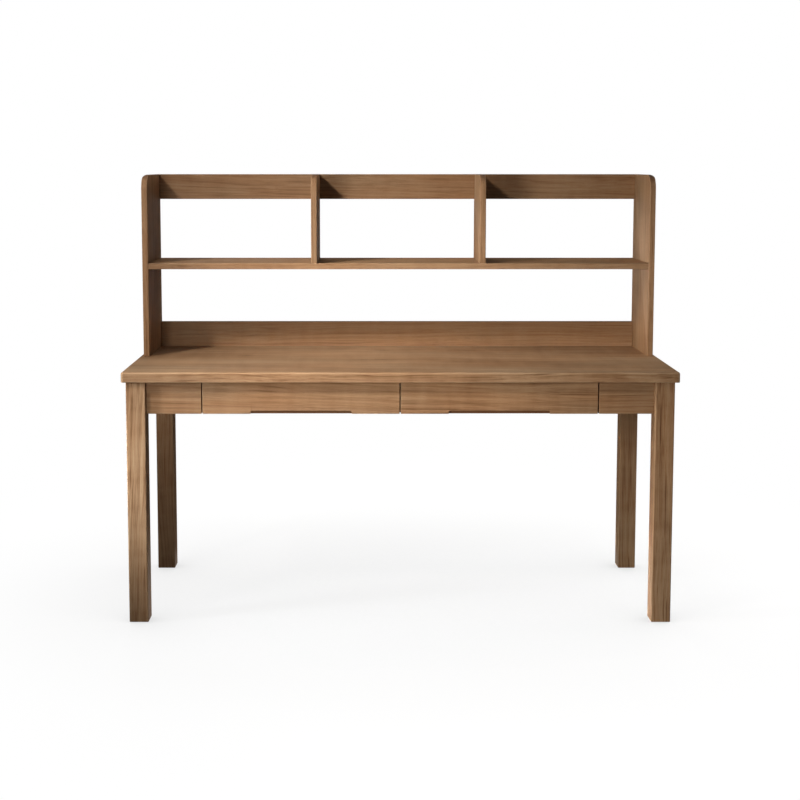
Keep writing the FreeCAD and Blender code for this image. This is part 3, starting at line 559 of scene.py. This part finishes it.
def drawer_front(name, node):
    """A section in depth and height carried along the width, whose lower front corner is lifted in
    the pull: corner heights are the pull's ceiling, less its end radius plus the height of a
    quarter circle near an end. Two rings at the same place make the pull's upright end walls."""
    (low_front, low_back, high_back, high_front), (start, end) = square(node, "x")
    face, foot = low_front
    middle, half = (start + end) / 2, pull_length / 2
    turn = np.linspace(0, math.pi / 2, pull_steps + 1)
    inner = pull_round * (1 - np.cos(turn))
    drop = pull_round * (1 - np.sin(turn))
    place = np.concatenate(((middle - half,), middle - half + inner, middle + half - inner[::-1],
                            (middle + half,)))
    lowered = np.concatenate(((0.0,), drop, drop[::-1], (0.0,)))
    inside = np.array([False] + [True] * (2 * len(turn)) + [False])

    def outline(inside, lowered):
        """The six corners of the section, from the lower front one round to the upper front one."""
        inside, lowered = np.asarray(inside), np.asarray(lowered)
        lip = np.where(inside, foot + pull_height - lowered, foot)
        roof = np.where(inside, foot + pull_height + pull_rise - lowered, foot)
        reach = np.where(inside, face + pull_depth, face + pull_depth - pull_lean)
        back = np.full(inside.shape, face + pull_depth)
        fixed = [np.broadcast_to(p, inside.shape + (2,)) for p in (low_back, high_back, high_front)]
        moving = [np.stack(p, -1) for p in ((np.full(inside.shape, face), lip), (reach, roof),
                                            (back, np.full(inside.shape, foot)))]
        return np.stack(moving + fixed, -2)

    def radii(inside):
        """The six corner radii: the lip of the pull is sharper than the board's lower edge."""
        inside = np.asarray(inside)
        small = np.full(inside.shape, crisp)
        return np.stack((np.where(inside, 2 * crisp, front_round), small, small, small, small,
                         np.full(inside.shape, front_round)), -1)

    plain, outward, share = rounded_outline(outline(False, 0.0), radii(False), front_steps)
    ease = np.where(plain[:, 0] < face + 2 * front_round, front_round, crisp)
    section, along, rubbed, curved = carried(plain, outward, start, end, (ease, ease), steps=(4, 4))
    pulls, _, _ = rounded_outline(outline(inside, lowered), radii(inside), front_steps)
    half_rings = len(along) // 2
    section = np.concatenate((section[:half_rings], pulls, section[half_rings:]))
    at = np.broadcast_to(place[:, None], pulls.shape[:2])
    along = np.concatenate((along[:half_rings], at, along[half_rings:]))
    corner = front_steps + 1
    worn = np.repeat(worn_corners, corner) * np.sin(math.pi * share)
    # Faces inside the pull get rubbed values below zero, so the stain paints them the dark end grain
    # colour as shade in the recess.
    cut = np.concatenate((-share[:corner], -np.ones(2 * corner), worn[3 * corner:]))
    pull_shade_and_wear = np.where(inside[:, None], cut, worn)
    rubbed = np.concatenate((np.maximum(rubbed[:half_rings], worn), pull_shade_and_wear,
                             np.maximum(rubbed[half_rings:], worn)))
    curved = np.concatenate((curved[:half_rings - 1], [False] * 2, [True] * pull_steps, [False],
                             [True] * pull_steps, [False] * 2, curved[half_rings:]))
    return skin(name, "x", section, along, rubbed, np.roll(share, -1) > share, curved)


for hand, seed, figure in (("left", 41, 0.9), ("right", 42, 1.3)):
    node = hand + "_drawer_front"
    made = drawer_front(node + "_board", node)
    stain(made, hand + "_drawer", node, "xzy", seed, figure=figure)

# Desktop
# One wide panel of edge-glued stained timber: corners rounded in plan, a generous round along the
# upper edge and a small one below. Screws for the hutch sides are sunk in its underside.

top_corner, top_round, under_round = 0.008, 0.006, 0.002
base_head_bore, base_head_depth = 0.0096, 0.0038
base_screw_shares = (0.25, 0.8)
corners, ends = square("desktop", "z")
desktop = board("desktop_panel", "z", corners, [top_corner] * 4, ends, (under_round, top_round),
                steps=(4, 8), corner_steps=10)
side_front, leg_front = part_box("hutch_left_side")[0][1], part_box("rear_left_leg")[0][1]
mouths = [(box_middle(side)[0], y, ends[0]) for side in ("hutch_left_side", "hutch_right_side")
          for y in between(side_front, leg_front, base_screw_shares)]
bore(desktop, mouths, (0, 0, 1), base_head_bore, base_head_depth)
stain(desktop, "desk", "desktop", "xyz", seed=51, figure=1.5)

# Hutch sides and dividers
# Upright boards of the stained timber with a rounded upper front corner; the sides have a large
# round on the outer top edge as well. Screws from below hold the sides on the desktop and the
# dividers on the shelf, and the dividers are notched at the back to take the top rail.

hutch_corner, hutch_round, hutch_crown = 0.045, 0.002, 0.013
foot_corner = hutch_round + joint_fit
rail_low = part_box("hutch_top_rail")[0]
rail_face, rail_underside = rail_low[1] - joint_fit, rail_low[2] - joint_fit
side_steps = 12
least_shown, fully_shown = 0.2, 0.7
crown_turns = np.radians(np.arange(36, 91, 6))


def upright(name, outline, radii, ends, outer=None):
    """An outline in depth and height carried across the board's thickness. The ease is the full
    round where the outline faces forward or up, and a crisp edge where it faces back or down.

    At an outer face the top is crowned: rings follow at steps of a quarter turn, and no point is
    left above the quarter circle, whose height follows from the distance to that face.
    """
    points, outward, share = rounded_outline(outline, radii, side_steps)
    shown = np.maximum(-outward[:, 0], outward[:, 1])
    shown = np.clip((shown - least_shown) / (fully_shown - least_shown), 0, 1)
    ease = crisp + (hutch_round - crisp) * shown
    section, along, rubbed, curved = carried(points, outward, *ends, (ease, ease), steps=(4, 4))
    rubbed = np.maximum(rubbed, rubbed_corners(radii, share, side_steps))
    if outer is not None:
        half, top = len(along) // 2, points[:, 1].max()
        inwards = np.sign(np.mean(ends) - outer)
        place = np.sort(outer + inwards * hutch_crown * (1 - np.cos(crown_turns)))
        rings = np.broadcast_to(points, (len(place),) + points.shape)
        across = np.broadcast_to(place[:, None], rings.shape[:2])
        section = np.concatenate((section[:half], rings, section[half:]))
        along = np.concatenate((along[:half], across, along[half:]))
        inside = hutch_crown - np.clip(np.abs(along - outer), 0, hutch_crown)
        roof = top - hutch_crown + np.sqrt(hutch_crown ** 2 - inside ** 2)
        section[..., 1] = np.minimum(section[..., 1], roof)
        rubbed = np.concatenate((rubbed[:half], np.zeros(rings.shape[:2]), rubbed[half:]))
        curved = np.concatenate((curved[:half - 1], [True] * (len(place) + 1), curved[half:]))
    return skin(name, "x", section, along, rubbed, np.roll(share, -1) > share, curved)


for node, seed, tone in (("hutch_left_side", 61, 1.02), ("hutch_right_side", 62, 0.99)):
    outline, ends = square(node, "x")
    made = upright(node + "_board", outline, [foot_corner, crisp, foot_corner, hutch_corner], ends,
                   max(ends, key=abs))
    stain(made, "desk", node, "zyx", seed, tone)
for node, seed, tone in (("hutch_left_divider", 63, 1.02), ("hutch_right_divider", 64, 1.0)):
    (front_low, back_low, back_high, front_high), ends = square(node, "x")
    outline = [front_low, back_low, (back_low[0], rail_underside), (rail_face, rail_underside),
               (rail_face, front_high[1]), front_high]
    radii = [foot_corner, crisp, foot_corner, foot_corner, foot_corner, hutch_corner]
    made = upright(node + "_board", outline, radii, ends)
    stain(made, "desk", node, "zyx", seed, tone)

# Hutch shelf, top rail and lower panel
# Boards of the stained timber between the sides, drawn tight by cam discs whose bores open below or
# at the back. The shelf has its front edges eased, the rail and the panel their upper edges.

cam_bore, cam_depth, cam_distance = 0.0154, 0.0130, 0.034
shelf_cam_shares, divider_screw_shares = (0.2, 0.8), (0.25, 0.72)
corners, ends = square("hutch_shelf", "x")
cam_x = ends[1] - cam_distance
divider_x = box_middle("hutch_right_divider")[0]
shelf = board("hutch_shelf_board", "x", corners, [hutch_round, crisp, crisp, hutch_round], ends,
              (crisp, crisp), steps=(2, 2))
(front, under), (back, _) = corners[0], corners[2]
divider_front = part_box("hutch_left_divider")[0][1]
cams = between(front, back, shelf_cam_shares)
screws = between(divider_front, back, divider_screw_shares)
bore(shelf, [(x, y, under) for x in (-cam_x, cam_x) for y in cams], (0, 0, 1), cam_bore, cam_depth)
bore(shelf, [(x, y, under) for x in (-divider_x, divider_x) for y in screws], (0, 0, 1),
     panel_head_bore, panel_head_depth)
stain(shelf, "desk", "hutch_shelf", "xyz", seed=71)
for node, seed, figure in (("hutch_top_rail", 72, 0.85), ("hutch_lower_panel", 73, 0.7)):
    corners, ends = square(node, "x")
    back, height = corners[2][0], box_middle(node)[2]
    made = board(node + "_board", "x", corners, [crisp, crisp, hutch_round, hutch_round], ends,
                 (crisp, crisp), steps=(2, 2))
    bore(made, [(x, back, height) for x in (-cam_x, cam_x)], (0, -1, 0), cam_bore, cam_depth)
    if node == "hutch_top_rail":
        bore(made, [(x, back, height) for x in (-divider_x, divider_x)], (0, -1, 0),
             panel_head_bore, panel_head_depth)
    stain(made, "desk", node, "xzy", seed, figure=figure)

# Studio
# A plain white floor that runs out into a white surround. A high lamp on the left draws the shadows,
# others on the left, the front and the right fill the faces, and one behind lights the back. The
# camera stands in front, a little left of the middle, and looks down slightly.

floor_reach = 30.0


def seen_directly(tree):
    """1 for rays that show a surface straight, in a reflection or through clear stuff, and else 0."""
    path = add(tree, "LightPath", {}).outputs
    first = add(tree, "Math", {0: path["Is Camera Ray"], 1: path["Is Glossy Ray"]}, operation="MAXIMUM")
    both = add(tree, "Math", {0: first.outputs[0], 1: path["Is Transmission Ray"]}, operation="MAXIMUM")
    return both.outputs[0]


reach = np.array([(-1, -1, 0), (1, -1, 0), (1, 1, 0), (-1, 1, 0)]) * floor_reach
mesh = bpy.data.meshes.new("floor")
mesh.from_pydata(reach.tolist(), [], [(0, 1, 2, 3)])
floor = placed("floor", mesh)
white_floor, tree, shader = new_finish("white_floor")
tree.nodes.remove(shader)
matt = add(tree, "BsdfDiffuse", {"Color": (0.06, 0.06, 0.06, 1)})
# Where the desk hides the sky, ambient occlusion lowers the floor's glow: painted shade under the desk.
open_sky = add(tree, "AmbientOcclusion", {"Distance": 1.2}, samples=16).outputs["AO"]
shade = add(tree, "MapRange", {"Value": open_sky, "From Min": 0.4, "From Max": 1.0,
                               "To Min": 0.76, "To Max": 1.0}).outputs[0]
pale = add(tree, "Emission", {"Color": (1, 1, 1, 1), "Strength": shade})
near = add(tree, "AddShader", {0: matt.outputs[0], 1: pale.outputs[0]})
glow = add(tree, "Emission", {"Color": (1, 1, 1, 1), "Strength": 1.0})
bounce = add(tree, "BsdfDiffuse", {"Color": (0.18, 0.175, 0.17, 1)})
away = add(tree, "VectorMath", {0: add(tree, "TexCoord", {}).outputs["Object"]}, operation="LENGTH")
blank = add(tree, "MapRange", {"Value": away.outputs["Value"], "From Min": 0.8, "From Max": 2.0},
            interpolation_type="SMOOTHSTEP")
shown = add(tree, "MixShader", {0: blank.outputs[0], 1: near.outputs[0], 2: glow.outputs[0]})
both = add(tree, "MixShader", {0: seen_directly(tree), 1: bounce.outputs[0], 2: shown.outputs[0]})
tree.links.new(both.outputs[0], tree.nodes["Material Output"].inputs["Surface"])
mesh.materials.append(white_floor)

world = bpy.data.worlds.new("white_surround")
world.use_nodes = True
tree = world.node_tree
fill = tree.nodes["Background"]
fill.inputs["Color"].default_value = (1.0, 0.98, 0.95, 1)
fill.inputs["Strength"].default_value = 0.018
white = add(tree, "Background", {"Color": (1, 1, 1, 1), "Strength": 1.0})
both = add(tree, "MixShader", {0: seen_directly(tree), 1: fill.outputs[0], 2: white.outputs[0]})
tree.links.new(both.outputs[0], tree.nodes["World Output"].inputs["Surface"])
bpy.context.scene.world = world

# A dark card behind the desk with two openings, and a strip of it on the floor. Only reflections see
# it, and it keeps the white surround from veiling the wood.
card_left, card_right, card_top = -3.0, 5.0, 3.6
card_back, card_near, card_lift = 2.6, 0.4, 0.003
card_openings = [(-1.03, -0.45, 1.08, 1.45), (0.12, 0.62, 0.35, 1.12)]
card_pieces = []
edge = card_left
for left, right, low, high in card_openings:
    card_pieces += [(edge, left, 0.0, card_top), (left, right, 0.0, low), (left, right, high, card_top)]
    edge = right
card_pieces.append((edge, card_right, 0.0, card_top))
corners = [(x, card_back, z) for left, right, low, high in card_pieces
           for x, z in ((left, low), (right, low), (right, high), (left, high))]
corners += [(card_left, card_near, card_lift), (card_right, card_near, card_lift),
            (card_right, card_back, card_lift), (card_left, card_back, card_lift)]
mesh = bpy.data.meshes.new("dark_card")
mesh.from_pydata(corners, [], np.arange(len(corners)).reshape(-1, 4).tolist())
card = placed("dark_card", mesh)
card.visible_camera = card.visible_diffuse = card.visible_shadow = card.visible_transmission = False
felt, _, shader = new_finish("dark_felt")
shader.inputs["Base Color"].default_value = (0.02, 0.018, 0.016, 1)
shader.inputs["Roughness"].default_value = 1.0
mesh.materials.append(felt)


def lamp(name, place, target, size, spread, power, shade):
    """A square lamp that faces its target, with a grid that narrows its beam to an angle in degrees."""
    light = bpy.data.lights.new(name, "AREA")
    light.size, light.energy, light.color = size, power, shade
    light.spread = math.radians(spread)
    made = placed(name, light)
    made.location = place
    made.rotation_euler = (Vector(target) - Vector(place)).to_track_quat("-Z", "Y").to_euler()
    made.visible_camera = False
    return made


lamp("high_left_lamp", place=(-2.4, -2.12, 3.24), target=(0.30, 0.44, 0.35),
     size=0.42, spread=27.6, power=4.5, shade=(1.0, 0.95, 0.89))
lamp("near_front_lamp", place=(-0.85, -1.66, 0.96), target=(1.30, 0.48, 0.82),
     size=0.50, spread=104.0, power=9.5, shade=(1.0, 0.95, 0.87))
lamp("low_left_lamp", place=(-2.21, -0.77, 0.94), target=(0.51, -0.10, -0.05),
     size=0.25, spread=27.8, power=2.9, shade=(0.94, 0.98, 1.0))
lamp("far_left_lamp", place=(-2.6, -1.0, 1.12), target=(0.77, 0.1, 1.06),
     size=0.2, spread=11.0, power=0.22, shade=(0.90, 0.95, 1.0))
lamp("right_lamp", place=(3.0, 0.25, 1.3), target=(0.8, 0.1, 0.8),
     size=0.6, spread=180.0, power=28.0, shade=(1.0, 0.93, 0.85))
back_lamp = lamp("back_lamp", place=(-0.9, 3.0, 2.4), target=(0.0, 0.1, 0.9),
                 size=1.2, spread=180.0, power=40.0, shade=(1.0, 0.97, 0.93))
back_lamp.visible_glossy = False

look_down = 5.322
view = bpy.data.cameras.new("picture_camera")
view.lens, view.sensor_width = 59.372, 36.0
view.shift_x, view.shift_y = 0.0348, -0.14
view.clip_end = 100.0
camera = placed("picture_camera", view)
camera.location = (-0.0808, -4.0265, 1.3293)
camera.rotation_euler = (math.radians(90.0 - look_down), 0.0, 0.0)
bpy.context.scene.camera = camera
bpy.context.scene.view_settings.view_transform = "Standard"
